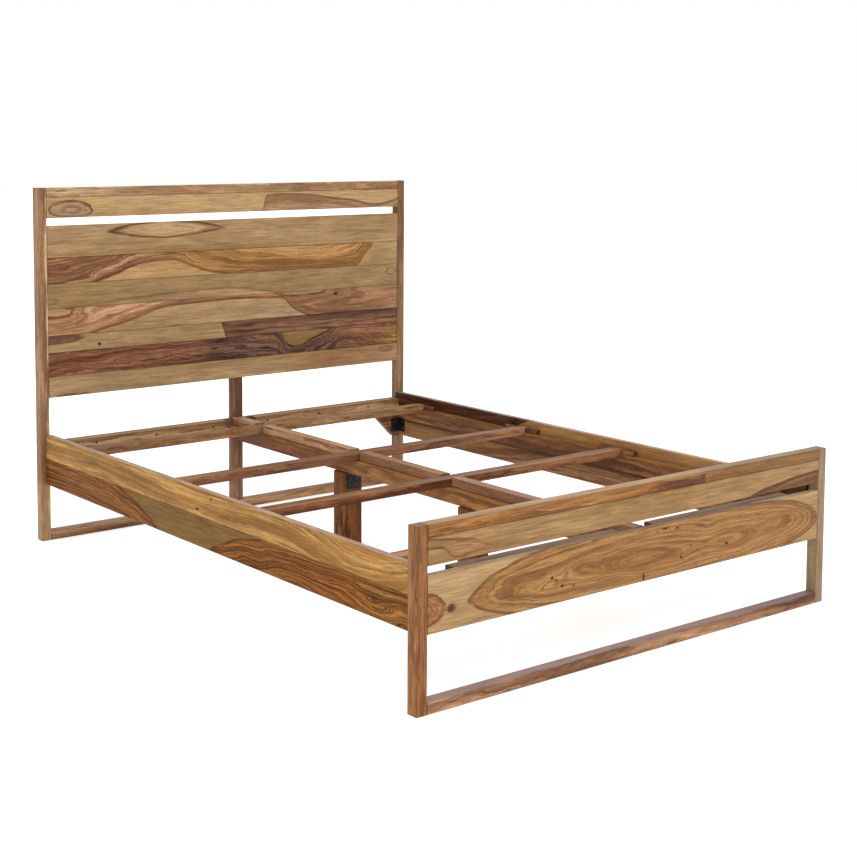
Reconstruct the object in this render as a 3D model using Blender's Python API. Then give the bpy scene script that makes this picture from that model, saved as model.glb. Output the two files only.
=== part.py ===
"""Solid-wood platform bed frame, queen size, built from separate timbers.

Frame: metres, +Z up, origin on the floor at the centre of the footprint.
X runs across the bed, Y from the foot (-Y) to the head (+Y).

The headboard and the footboard are each a rectangular frame of square
timber (two posts, a top rail, a floor runner) filled in with boards.  Two
side rails join them.  Inside the rails, ledgers carry four loose cross
slats in shallow pockets; a centre beam on two legs carries their middles.
"""

import math

import bmesh
import bpy

# ---------------------------------------------------------------- dimensions
WIDTH = 1.600            # overall, across the posts
LENGTH = 2.155           # overall, back of headboard to front of footboard
HEAD_H = 1.238           # headboard height
FOOT_H = 0.481           # footboard height
POST_X = 0.034           # post section across the bed
POST_Y = 0.038           # post section along the bed
RUNNER_H = 0.032         # floor runners
GAP = 0.0004             # clearance left at every glued or screwed face

HALF_W = WIDTH / 2
HALF_L = LENGTH / 2
POST_IN = HALF_W - POST_X            # inner face of a post
HEAD_FRONT = HALF_L - POST_Y         # front plane of the headboard
FOOT_FRONT = -HALF_L                 # front plane of the footboard
FOOT_BACK = -HALF_L + POST_Y

BOARD_T = 0.020          # infill boards
RECESS = 0.003           # set-back of the middle headboard planks
PROUD = 0.0006           # set-back of the boards that look flush

# headboard levels, top to bottom
HEAD_RAIL_Z = 1.205      # underside of the top rail
HEAD_SLOT_TOP = 1.133    # underside of the board below it
PLANK_Z = (1.106, 0.994, 0.902, 0.816, 0.721, 0.661, 0.576, 0.504)

# footboard levels
FOOT_RAIL_Z = 0.447
FOOT_SLOT_TOP = 0.377
FOOT_PANEL_Z = (0.2035, 0.353)

# side rails
RAIL_OUT = 0.781         # outer face
RAIL_T = 0.024
RAIL_IN = RAIL_OUT - RAIL_T
RAIL_Z = (0.200, 0.375)

# slats, ledgers and beam
SLAT_W = 0.050
SLAT_Z = (0.324, 0.350)
SLAT_Y = (0.856, 0.253, -0.237, -0.863)      # head to foot
SLAT_END = 0.0035        # play at each slat end
POCKET_PLAY = 0.0010     # play on each side of a slat
LEDGER_T = 0.022
LEDGER_Z = (0.276, 0.334)
LEDGER_END = 0.955
BLOCK_Z = (LEDGER_Z[1], 0.349)
BLOCK_T = 0.018
BLOCK_L = 0.060
BEAM_X = 0.030
BEAM_Z = (0.274, SLAT_Z[0])
STRIP_X = 0.020
STRIP_Z = (SLAT_Z[0], 0.354)
LEG_X = 0.038
LEG_Y = ((0.291, 0.353), (-0.379, -0.317))

# end ledgers of the headboard and footboard
END_Z = (0.314, 0.350)
END_IN = 0.065           # inner ends, clear of the beam
CENTRE_POST_X = 0.025
CENTRE_POST_Y = (HEAD_FRONT + 0.0005, HEAD_FRONT + 0.0225)
LOWER_RAIL_Y = (HEAD_FRONT + 0.0005, HEAD_FRONT + 0.0225)
END_LEDGER_T = 0.025

STEEL_T = 0.003

# ---------------------------------------------------------------- clean start
for old in list(bpy.data.objects):
    bpy.data.objects.remove(old, do_unlink=True)


def material(name, colour, roughness, metallic=0.0):
    """A Principled material with a plain colour."""
    mat = bpy.data.materials.new(name)
    mat.use_nodes = True
    shader = mat.node_tree.nodes["Principled BSDF"]
    shader.inputs["Base Color"].default_value = (*colour, 1.0)
    shader.inputs["Roughness"].default_value = roughness
    shader.inputs["Metallic"].default_value = metallic
    return mat


SAPWOOD = material("sapwood", (0.46, 0.30, 0.15), 0.50)
GOLDEN = material("golden_wood", (0.38, 0.21, 0.09), 0.48)
REDDISH = material("reddish_wood", (0.30, 0.15, 0.08), 0.48)
DARK = material("dark_heartwood", (0.14, 0.06, 0.035), 0.46)
BROWN = material("brown_wood", (0.20, 0.10, 0.055), 0.52)
STEEL = material("black_steel", (0.018, 0.018, 0.020), 0.42, 0.85)


def finish(name, mesh, location, mat, bevel, segments):
    """Make the object, with its own copy of the material and its bevel."""
    obj = bpy.data.objects.new(name, mesh)
    obj.location = location
    bpy.context.scene.collection.objects.link(obj)
    own = mat.copy()
    own.name = name + "_" + mat.name
    mesh.materials.append(own)
    if bevel > 0:
        mod = obj.modifiers.new("eased_edges", "BEVEL")
        mod.width = bevel
        mod.segments = segments
        mod.limit_method = "ANGLE"
        mod.angle_limit = math.radians(30)
    return obj


def timber(name, x, y, z, mat, bevel=0.002, segments=1):
    """A rectangular timber between two planes along each axis."""
    centre = [(a + b) / 2 for a, b in (x, y, z)]
    half = [abs(b - a) / 2 for a, b in (x, y, z)]
    mesh = bpy.data.meshes.new(name)
    bm = bmesh.new()
    bmesh.ops.create_cube(bm, size=2.0)
    for vert in bm.verts:
        vert.co.x *= half[0]
        vert.co.y *= half[1]
        vert.co.z *= half[2]
    bmesh.ops.recalc_face_normals(bm, faces=bm.faces)
    bm.to_mesh(mesh)
    bm.free()
    return finish(name, mesh, centre, mat, bevel, segments)


def profile(name, outline, plane, low, high, mat, bevel=0.0, segments=1):
    """A flat outline, extruded square to its plane from low to high.

    plane "yz" takes (y, z) points and extrudes along X, "xz" takes (x, z)
    points and extrudes along Y, and "xy" takes (x, y) points and extrudes
    along Z.
    """
    place = {
        "yz": lambda a, b, t: (t, a, b),
        "xz": lambda a, b, t: (a, t, b),
        "xy": lambda a, b, t: (a, b, t),
    }[plane]
    mesh = bpy.data.meshes.new(name)
    bm = bmesh.new()
    face = bm.faces.new([bm.verts.new(place(a, b, low)) for a, b in outline])
    grown = bmesh.ops.extrude_face_region(bm, geom=[face])
    step = place(0.0, 0.0, high - low)
    for item in grown["geom"]:
        if isinstance(item, bmesh.types.BMVert):
            item.co.x += step[0]
            item.co.y += step[1]
            item.co.z += step[2]
    bmesh.ops.recalc_face_normals(bm, faces=bm.faces)
    lows = [min(v.co[i] for v in bm.verts) for i in range(3)]
    highs = [max(v.co[i] for v in bm.verts) for i in range(3)]
    centre = [(a + b) / 2 for a, b in zip(lows, highs)]
    for vert in bm.verts:
        for i in range(3):
            vert.co[i] -= centre[i]
    bm.to_mesh(mesh)
    bm.free()
    return finish(name, mesh, centre, mat, bevel, segments)


# ---------------------------------------------------------------- headboard
HEAD_Y = (HEAD_FRONT, HALF_L)
SPAN = (-POST_IN + GAP, POST_IN - GAP)
timber("headboard_post_left", (-HALF_W, -POST_IN), HEAD_Y, (0, HEAD_H),
       GOLDEN, 0.0025, 2)
timber("headboard_post_right", (POST_IN, HALF_W), HEAD_Y, (0, HEAD_H),
       GOLDEN, 0.0025, 2)
timber("headboard_top_rail", SPAN, HEAD_Y, (HEAD_RAIL_Z + GAP, HEAD_H),
       REDDISH, 0.0025, 2)
timber("headboard_floor_runner", SPAN, HEAD_Y, (0, RUNNER_H), GOLDEN,
       0.0025, 2)
FLUSH_Y = (HEAD_FRONT + PROUD, HEAD_FRONT + PROUD + BOARD_T)
SET_Y = (HEAD_FRONT + RECESS, HEAD_FRONT + PROUD + BOARD_T)
timber("headboard_top_board", SPAN, FLUSH_Y, (HEAD_SLOT_TOP, HEAD_RAIL_Z),
       SAPWOOD, 0.0015)
PLANK_WOOD = (SAPWOOD, GOLDEN, SAPWOOD, SAPWOOD, DARK, DARK, SAPWOOD)
for index, wood in enumerate(PLANK_WOOD):
    top = PLANK_Z[index] - GAP / 2
    bottom = PLANK_Z[index + 1] + GAP / 2
    depth = FLUSH_Y if index in (0, len(PLANK_WOOD) - 1) else SET_Y
    timber(f"headboard_plank_{index + 1}", SPAN, depth, (bottom, top), wood,
           0.0010)
timber("headboard_centre_post", (-CENTRE_POST_X, CENTRE_POST_X),
       CENTRE_POST_Y, (RUNNER_H + GAP, PLANK_Z[-1] - GAP), BROWN, 0.002)
for side, sign in (("left", -1), ("right", 1)):
    timber(f"headboard_lower_rail_{side}",
           tuple(sorted((sign * (CENTRE_POST_X + GAP),
                         sign * (POST_IN - GAP)))),
           LOWER_RAIL_Y, END_Z, BROWN, 0.0015)
    timber(f"headboard_ledger_{side}",
           tuple(sorted((sign * END_IN, sign * (RAIL_IN - GAP)))),
           (HEAD_FRONT - END_LEDGER_T, HEAD_FRONT), END_Z, GOLDEN, 0.0015)
    # triangular corner block under the ledger, blunt at its lower tip
    right = RAIL_IN - GAP
    top = END_Z[0] - GAP
    tip = 0.199
    slope = 1.0
    outline = [(sign * right, top), (sign * (0.728 - (top - tip) / slope), top),
               (sign * 0.728, tip), (sign * right, tip)]
    profile(f"headboard_corner_block_{side}", outline, "xz",
            HEAD_FRONT - END_LEDGER_T, HEAD_FRONT - GAP, BROWN, 0.0015)

# ---------------------------------------------------------------- footboard
FOOT_Y = (FOOT_FRONT, FOOT_BACK)
timber("footboard_post_left", (-HALF_W, -POST_IN), FOOT_Y, (0, FOOT_H),
       GOLDEN, 0.0025, 2)
timber("footboard_post_right", (POST_IN, HALF_W), FOOT_Y, (0, FOOT_H),
       GOLDEN, 0.0025, 2)
timber("footboard_top_rail", SPAN, FOOT_Y, (FOOT_RAIL_Z + GAP, FOOT_H),
       GOLDEN, 0.0025, 2)
timber("footboard_floor_runner", SPAN, FOOT_Y, (0, RUNNER_H), GOLDEN,
       0.0025, 2)
INFILL_Y = (FOOT_FRONT + PROUD, FOOT_FRONT + PROUD + BOARD_T)
timber("footboard_upper_board", SPAN, INFILL_Y, (FOOT_SLOT_TOP, FOOT_RAIL_Z),
       SAPWOOD, 0.0015)
timber("footboard_lower_panel", SPAN, INFILL_Y, FOOT_PANEL_Z, GOLDEN, 0.0015)
for side, sign in (("left", -1), ("right", 1)):
    timber(f"footboard_ledger_{side}",
           tuple(sorted((sign * END_IN, sign * 0.660))),
           (INFILL_Y[1] + GAP, FOOT_BACK + END_LEDGER_T), END_Z, BROWN,
           0.0015)

# ---------------------------------------------------------------- side rails
for side, sign in (("left", -1), ("right", 1)):
    timber(f"side_rail_{side}",
           tuple(sorted((sign * RAIL_IN, sign * RAIL_OUT))),
           (FOOT_BACK + GAP, HEAD_FRONT - GAP), RAIL_Z, GOLDEN, 0.0035, 2)

    # the ledger's top edge is notched where each slat drops in
    half_pocket = SLAT_W / 2 + POCKET_PLAY
    outline = [(LEDGER_END, LEDGER_Z[1]), (LEDGER_END, LEDGER_Z[0]),
               (-LEDGER_END, LEDGER_Z[0]), (-LEDGER_END, LEDGER_Z[1])]
    for centre in sorted(SLAT_Y):
        outline += [(centre - half_pocket, LEDGER_Z[1]),
                    (centre - half_pocket, SLAT_Z[0] - GAP),
                    (centre + half_pocket, SLAT_Z[0] - GAP),
                    (centre + half_pocket, LEDGER_Z[1])]
    inner = sign * (RAIL_IN - LEDGER_T - GAP)
    outer = sign * (RAIL_IN - GAP)
    profile(f"side_ledger_{side}", outline, "yz", min(inner, outer),
            max(inner, outer), BROWN)

    # small blocks on the ledger keep the slats from creeping along it
    near = [("slat_block_%s_1", SLAT_Y[0], -1), ("slat_block_%s_2", SLAT_Y[1], 1),
            ("slat_block_%s_3", SLAT_Y[1], -1), ("slat_block_%s_4", SLAT_Y[2], 1),
            ("slat_block_%s_5", SLAT_Y[2], -1)]
    for pattern, centre, way in near:
        start = centre + way * half_pocket
        end = start + way * BLOCK_L
        timber(pattern % side,
               tuple(sorted((sign * (RAIL_IN - GAP),
                             sign * (RAIL_IN - GAP - BLOCK_T)))),
               (min(start, end), max(start, end)),
               (BLOCK_Z[0] + GAP, BLOCK_Z[1]), BROWN, 0.0012)

    # angle brackets between the rail and each end frame
    corner_x = RAIL_IN - GAP
    for end_name, way, face in (
            ("head", 1, HEAD_FRONT - END_LEDGER_T - GAP),
            ("foot", -1, FOOT_BACK + GAP)):
        near_y = face - way * 0.038
        outline = [(corner_x, near_y), (corner_x, face),
                   (corner_x - 0.040, face),
                   (corner_x - 0.040, face - way * STEEL_T),
                   (corner_x - STEEL_T, face - way * STEEL_T),
                   (corner_x - STEEL_T, near_y)]
        profile(f"corner_bracket_{end_name}_{side}",
                [(sign * a, b) for a, b in outline], "xy", 0.218, 0.272,
                STEEL)

# ---------------------------------------------------------------- slats
for index, centre in enumerate(SLAT_Y):
    reach = RAIL_IN - SLAT_END
    timber(f"slat_{index + 1}", (-reach, reach),
           (centre - SLAT_W / 2, centre + SLAT_W / 2), SLAT_Z, REDDISH,
           0.0025, 2)

# ---------------------------------------------------------------- centre beam
BEAM_ENDS = (INFILL_Y[1] + GAP, CENTRE_POST_Y[0] - GAP)
timber("centre_beam", (-BEAM_X, BEAM_X), BEAM_ENDS,
       (BEAM_Z[0], BEAM_Z[1] - GAP), BROWN, 0.002)
edges = [BEAM_ENDS[1]]
for centre in SLAT_Y:
    edges += [centre + SLAT_W / 2 + 0.003, centre - SLAT_W / 2 - 0.003]
edges.append(BEAM_ENDS[0])
for index in range(0, len(edges), 2):
    timber(f"beam_strip_{index // 2 + 1}", (-STRIP_X, STRIP_X),
           (edges[index + 1], edges[index]), STRIP_Z, REDDISH, 0.0015)

for index, (back, front) in enumerate(LEG_Y):
    low, high = min(back, front), max(back, front)
    timber(f"centre_leg_{index + 1}", (-LEG_X, LEG_X), (low, high),
           (0, BEAM_Z[0] - GAP), BROWN, 0.0025)
    # steel angle that ties the leg's front face to the beam's underside
    top = BEAM_Z[0] - GAP
    face = low - GAP
    outline = [(face, top), (face, top - 0.058), (face - STEEL_T, top - 0.058),
               (face - STEEL_T, top - STEEL_T), (face - 0.034, top - STEEL_T),
               (face - 0.034, top)]
    profile(f"leg_bracket_{index + 1}", outline, "yz", -0.026, 0.026, STEEL)
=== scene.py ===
"""Looks of the solid-wood bed frame: rounded timbers, grain, steel, floor, light and camera."""

import math

import bmesh
import bpy
from mathutils import Matrix, Vector


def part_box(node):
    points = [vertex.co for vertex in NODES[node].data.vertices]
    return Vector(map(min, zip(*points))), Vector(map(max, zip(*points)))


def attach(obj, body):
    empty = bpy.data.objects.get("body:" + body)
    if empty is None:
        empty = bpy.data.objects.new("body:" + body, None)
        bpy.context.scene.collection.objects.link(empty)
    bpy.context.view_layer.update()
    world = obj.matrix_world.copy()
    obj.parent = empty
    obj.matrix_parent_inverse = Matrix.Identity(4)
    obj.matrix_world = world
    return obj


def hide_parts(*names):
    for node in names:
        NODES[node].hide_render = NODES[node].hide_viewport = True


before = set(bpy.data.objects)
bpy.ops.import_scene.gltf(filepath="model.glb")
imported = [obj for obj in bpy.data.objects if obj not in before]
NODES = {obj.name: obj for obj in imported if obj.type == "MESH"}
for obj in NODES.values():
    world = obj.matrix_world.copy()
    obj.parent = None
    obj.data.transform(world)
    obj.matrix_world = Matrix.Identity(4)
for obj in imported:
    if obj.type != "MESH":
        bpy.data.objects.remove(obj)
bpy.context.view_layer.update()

# ------------------------------------------------------------------ camera
CAM_PLACE = Vector((-3.16311, -4.06348, 1.45462))
CAM_YAW, CAM_PITCH, CAM_ROLL = 38.7142, 4.9609, 0.3304     # degrees
cam_data = bpy.data.cameras.new("camera")
cam_data.sensor_width = 36.0
cam_data.lens = 66.683
cam_data.shift_y = -0.1908
cam_data.clip_start, cam_data.clip_end = 0.05, 60.0
camera = bpy.data.objects.new("camera", cam_data)
bpy.context.scene.collection.objects.link(camera)
_y, _p, _r = (math.radians(a) for a in (CAM_YAW, CAM_PITCH, CAM_ROLL))
_fwd = Vector((math.sin(_y) * math.cos(_p), math.cos(_y) * math.cos(_p), -math.sin(_p)))
_right = Vector((math.cos(_y), -math.sin(_y), 0.0))
_up = _right.cross(_fwd)
_r2 = math.cos(_r) * _right + math.sin(_r) * _up
_u2 = -math.sin(_r) * _right + math.cos(_r) * _up
_m = Matrix((_r2, _u2, -_fwd)).transposed().to_4x4()
_m.translation = CAM_PLACE
camera.matrix_world = _m
bpy.context.scene.camera = camera


# ------------------------------------------------------------------ node helpers
def rgb(r, g, b, gain=1.0):
    """Linear colour of a display colour given 0 to 255."""
    out = []
    for c in (r, g, b):
        c /= 255.0
        out.append(c / 12.92 if c <= 0.04045 else ((c + 0.055) / 1.055) ** 2.4)
    return (*(c * gain for c in out), 1.0)


class Graph:
    """Short calls that add nodes to a tree. An argument is a number, a tuple or another node's output."""

    def __init__(self, tree):
        self.tree = tree
        self.count = 0

    def add(self, kind, **settings):
        node = self.tree.nodes.new(kind)
        node.location = (180 * (self.count % 12), -180 * (self.count // 12))
        self.count += 1
        for key, value in settings.items():
            setattr(node, key, value)
        return node

    def put(self, socket, value):
        if isinstance(value, bpy.types.NodeSocket):
            self.tree.links.new(value, socket)
        elif value is not None:
            socket.default_value = value

    def math(self, op, *values, clamp=False):
        node = self.add("ShaderNodeMath", operation=op, use_clamp=clamp)
        for socket, value in zip(node.inputs, values):
            self.put(socket, value)
        return node.outputs[0]

    def vec(self, op, a, b=None):
        node = self.add("ShaderNodeVectorMath", operation=op)
        self.put(node.inputs[0], a)
        if b is not None:
            self.put(node.inputs[1], b)
        return node.outputs["Value"] if op in ("LENGTH", "DOT_PRODUCT") else node.outputs["Vector"]

    def xyz(self, x, y, z):
        node = self.add("ShaderNodeCombineXYZ")
        for socket, value in zip(node.inputs, (x, y, z)):
            self.put(socket, value)
        return node.outputs[0]

    def noise(self, vector, scale=1.0, detail=2.0, rough=0.5, distortion=0.0):
        node = self.add("ShaderNodeTexNoise", noise_dimensions="3D")
        self.put(node.inputs["Vector"], vector)
        node.inputs["Scale"].default_value = scale
        node.inputs["Detail"].default_value = detail
        node.inputs["Roughness"].default_value = rough
        node.inputs["Distortion"].default_value = distortion
        return node.outputs[0]

    def remap(self, value, low, high, to_low=0.0, to_high=1.0, smooth=True):
        node = self.add("ShaderNodeMapRange", clamp=True)
        node.interpolation_type = "SMOOTHSTEP" if smooth else "LINEAR"
        for name, x in (("Value", value), ("From Min", low), ("From Max", high),
                        ("To Min", to_low), ("To Max", to_high)):
            self.put(node.inputs[name], x)
        return node.outputs[0]

    def mix(self, factor, a, b, blend="MIX"):
        node = self.add("ShaderNodeMix", data_type="RGBA", blend_type=blend, clamp_factor=True)
        self.put(node.inputs[0], factor)
        self.put(node.inputs[6], a)
        self.put(node.inputs[7], b)
        return node.outputs[2]

    def blend(self, factor, a, b):
        node = self.add("ShaderNodeMix", data_type="FLOAT", clamp_factor=True)
        self.put(node.inputs[0], factor)
        self.put(node.inputs[2], a)
        self.put(node.inputs[3], b)
        return node.outputs[0]

    def curve(self, value, points, low, high):
        """A curve through (value, height) points; heights are between low and high."""
        first, last = points[0][0], points[-1][0]
        node = self.add("ShaderNodeFloatCurve")
        line = node.mapping.curves[0]
        flat = [((a - first) / (last - first), min(1.0, max(0.0, (b - low) / (high - low))))
                for a, b in points]
        line.points[0].location = flat[0]
        line.points[-1].location = flat[-1]
        for a, b in flat[1:-1]:
            line.points.new(a, b)
        node.mapping.use_clip = True
        node.mapping.update()
        self.put(node.inputs["Value"], self.remap(value, first, last, smooth=False))
        return self.math("MULTIPLY_ADD", node.outputs[0], high - low, low)


# ------------------------------------------------------------------ the timber itself
def make_timber_group():
    """Colour, roughness and surface of a hardwood with pale sapwood, lined heartwood and open pores.

    Field is the distance from the heartwood's border in metres, below zero inside it; the growth
    lines follow its contours.
    """
    tree = bpy.data.node_groups.new("timber", "ShaderNodeTree")
    face = tree.interface
    for name, kind in (("Place", "Vector"), ("Field", "Float"), ("Knot", "Float"), ("Edge", "Float"),
                       ("End", "Float"), ("Seam", "Float"), ("Sap Light", "Color"), ("Sap Deep", "Color"),
                       ("Heart Light", "Color"), ("Heart Mid", "Color"), ("Heart Dark", "Color"),
                       ("Pitch", "Float"), ("Warp", "Float"), ("Sap Lines", "Float"),
                       ("Heart Lines", "Float"), ("Border", "Float"), ("Edge Tone", "Float"),
                       ("Swirl", "Float"), ("Drift", "Float")):
        face.new_socket(name=name, in_out="INPUT", socket_type="NodeSocket" + kind)
    for name, kind in (("Colour", "Color"), ("Roughness", "Float"), ("Normal", "Vector")):
        face.new_socket(name=name, in_out="OUTPUT", socket_type="NodeSocket" + kind)
    g = Graph(tree)
    i = g.add("NodeGroupInput").outputs
    place = i["Place"]

    # growth lines: the border's distance, warped at three scales
    slow = g.noise(g.vec("MULTIPLY", place, (2.6, 13.0, 13.0)), detail=2.0)
    wavy = g.noise(g.vec("MULTIPLY", place, (7.0, 34.0, 34.0)), detail=3.0, rough=0.6)
    quick = g.noise(g.vec("MULTIPLY", place, (17.0, 120.0, 120.0)), detail=2.0, rough=0.55)
    ring = g.math("MULTIPLY_ADD", g.math("SUBTRACT", slow, 0.5), i["Warp"], i["Field"])
    ring = g.math("MULTIPLY_ADD", g.math("SUBTRACT", wavy, 0.5), g.math("MULTIPLY", i["Warp"], 1.05), ring)
    split = g.add("ShaderNodeSeparateXYZ")
    g.put(split.inputs[0], place)
    along, across, through = split.outputs
    # away from the heartwood the lines run straight along the grain
    leave = g.remap(ring, 0.002, 0.030)
    level = g.math("MULTIPLY_ADD", g.math("SUBTRACT", slow, 0.5), 0.030, across)
    line_at = g.blend(leave, ring, level)
    line_at = g.math("MULTIPLY_ADD", g.math("SUBTRACT", quick, 0.5), 0.0045, line_at)
    line_at = g.math("MULTIPLY_ADD", g.math("SUBTRACT", wavy, 0.5), i["Swirl"], line_at)
    line_at = g.math("MULTIPLY_ADD", across, i["Drift"], line_at)
    broad = g.noise(g.xyz(g.math("MULTIPLY", line_at, g.math("MULTIPLY", i["Pitch"], 0.28)),
                          g.math("MULTIPLY", along, 1.0), through), detail=2.0, rough=0.5)
    lines = g.noise(g.xyz(g.math("MULTIPLY", line_at, i["Pitch"]),
                          g.math("MULTIPLY", along, 2.6), g.math("MULTIPLY", through, 3.0)),
                    detail=3.0, rough=0.65)
    fine = g.noise(g.xyz(g.math("MULTIPLY", line_at, g.math("MULTIPLY", i["Pitch"], 3.0)),
                         g.math("MULTIPLY", along, 6.0), g.math("MULTIPLY", through, 9.0)),
                   detail=2.0, rough=0.6)

    # fibres, pores, streaks and slow changes of tone
    tone = g.noise(g.vec("MULTIPLY", place, (1.5, 8.0, 8.0)), detail=3.0, rough=0.55)
    blotch = g.noise(g.vec("MULTIPLY", place, (6.0, 26.0, 26.0)), detail=3.0, rough=0.6)
    streak = g.noise(g.vec("MULTIPLY", place, (11.0, 150.0, 150.0)), detail=4.0, rough=0.72)
    fibre = g.noise(g.vec("MULTIPLY", place, (12.0, 420.0, 420.0)), detail=3.0, rough=0.65)
    pore = g.noise(g.vec("MULTIPLY", place, (45.0, 1300.0, 1300.0)), detail=1.0)
    pores = g.remap(pore, 0.60, 0.72)

    heart = g.remap(g.math("MULTIPLY_ADD", g.math("SUBTRACT", streak, 0.5), 0.006, ring), -0.0018, 0.0018, 1.0, 0.0)

    dark = g.remap(lines, 0.49, 0.66)
    dark = g.math("ADD", dark, g.math("MULTIPLY", g.remap(broad, 0.50, 0.66), 0.75))
    dark = g.math("ADD", dark, g.math("MULTIPLY", g.remap(fine, 0.50, 0.68), 0.45))
    dark = g.math("ADD", dark, g.math("MULTIPLY", g.remap(blotch, 0.54, 0.74), 0.35), clamp=True)
    dark = g.math("MULTIPLY", dark, i["Heart Lines"])
    pale = g.remap(g.math("ADD", lines, g.math("MULTIPLY", g.math("SUBTRACT", broad, 0.5), 0.8)), 0.50, 0.34)
    heart_c = g.mix(pale, i["Heart Mid"], i["Heart Light"])
    heart_c = g.mix(dark, heart_c, i["Heart Dark"])

    grey = g.remap(g.math("MULTIPLY_ADD", g.math("SUBTRACT", broad, 0.5), 0.9, lines), 0.42, 0.64)
    grey = g.math("MULTIPLY", grey, i["Sap Lines"])
    sap_c = g.mix(g.math("ADD", g.math("MULTIPLY", g.remap(tone, 0.40, 0.62), 0.65), grey, clamp=True),
                  i["Sap Light"], i["Sap Deep"])
    thin = g.math("MULTIPLY", g.remap(g.math("MULTIPLY_ADD", g.math("SUBTRACT", blotch, 0.5), 0.5, fine),
                                      0.54, 0.72), g.math("MULTIPLY", i["Sap Lines"], 0.8))
    sap_c = g.mix(thin, sap_c, i["Heart Mid"])

    colour = g.mix(heart, sap_c, heart_c)

    # the border of the heartwood is drawn by a darker line, wider on its inner side
    ridge = g.math("DIVIDE", ring, g.blend(heart, 0.0024, 0.0072))
    ridge = g.math("EXPONENT", g.math("MULTIPLY", g.math("MULTIPLY", ridge, ridge), -1.0))
    ridge = g.math("MULTIPLY", ridge, g.remap(blotch, 0.30, 0.55, 0.45, 1.0))
    colour = g.mix(g.math("MULTIPLY", ridge, i["Border"]), colour, i["Heart Dark"])

    # tone, streaks, fibres and pores over both
    shade = g.remap(tone, 0.30, 0.70, 0.88, 1.12, smooth=False)
    shade = g.math("MULTIPLY", shade, g.remap(blotch, 0.30, 0.70, 0.86, 1.14, smooth=False))
    shade = g.math("MULTIPLY", shade, g.remap(streak, 0.30, 0.70, 0.75, 1.24, smooth=False))
    shade = g.math("MULTIPLY", shade, g.remap(fibre, 0.28, 0.72, 0.71, 1.25, smooth=False))
    shade = g.math("MULTIPLY", shade, g.math("SUBTRACT", 1.0, g.math("MULTIPLY", pores, 0.30)))
    shade = g.math("MULTIPLY", shade, g.math("SUBTRACT", 1.0, g.math("MULTIPLY", i["End"], 0.34)))
    rub = g.remap(g.math("ADD", i["Edge"], g.math("MULTIPLY", g.math("SUBTRACT", quick, 0.5), 0.004)),
                  0.0004, 0.0034, 1.0, 0.0)
    shade = g.math("MULTIPLY", shade, g.math("MULTIPLY_ADD", rub, i["Edge Tone"], 1.0))
    # Seam darkens glued joints; on the right side rail it also carries a painted shadow band under the ledger,
    # darkening the colour here and sinking the bump below
    shade = g.math("MULTIPLY", shade, g.math("SUBTRACT", 1.0, g.math("MULTIPLY", i["Seam"], 0.55)))
    colour = g.mix(1.0, colour, g.xyz(shade, shade, shade), blend="MULTIPLY")

    # knots: a nearly black core with a reddish halo
    colour = g.mix(g.remap(i["Knot"], 0.05, 0.55, 0.0, 0.65), colour, i["Heart Dark"])
    colour = g.mix(g.remap(i["Knot"], 0.50, 0.80, 0.0, 0.9), colour, rgb(44, 28, 20, 0.7))

    rough = g.math("MULTIPLY_ADD", g.math("SUBTRACT", fibre, 0.5), 0.16, 0.44)
    rough = g.math("ADD", rough, g.math("MULTIPLY", pores, 0.16))
    rough = g.math("ADD", rough, g.math("MULTIPLY", g.math("SUBTRACT", tone, 0.5), 0.18))
    rough = g.math("ADD", rough, g.math("MULTIPLY", i["End"], 0.18))
    rough = g.math("ADD", rough, g.math("MULTIPLY", rub, 0.06), clamp=True)

    height = g.math("MULTIPLY", pores, -0.9)
    height = g.math("MULTIPLY_ADD", fibre, 0.55, height)
    height = g.math("MULTIPLY_ADD", lines, 0.50, height)
    height = g.math("MULTIPLY_ADD", i["Seam"], -1.6, height)
    height = g.math("MULTIPLY_ADD", i["Knot"], -0.8, height)
    bump = g.add("ShaderNodeBump")
    bump.inputs["Strength"].default_value = 0.42
    bump.inputs["Distance"].default_value = 0.0006
    g.put(bump.inputs["Height"], height)

    out = g.add("NodeGroupOutput").inputs
    g.put(out["Colour"], colour)
    g.put(out["Roughness"], rough)
    g.put(out["Normal"], bump.outputs[0])
    return tree


TIMBER = make_timber_group()

# sapwood light and deep; heartwood light, mid and dark
def wood_tones(table, gain=(0.96, 0.93, 0.84)):
    """Albedos of colours that are given as they look in bright, even light."""
    return {name: tuple((*(c * k for c, k in zip(rgb(*row_colour), gain)), 1.0) for row_colour in row)
            for name, row in table.items()}


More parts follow.
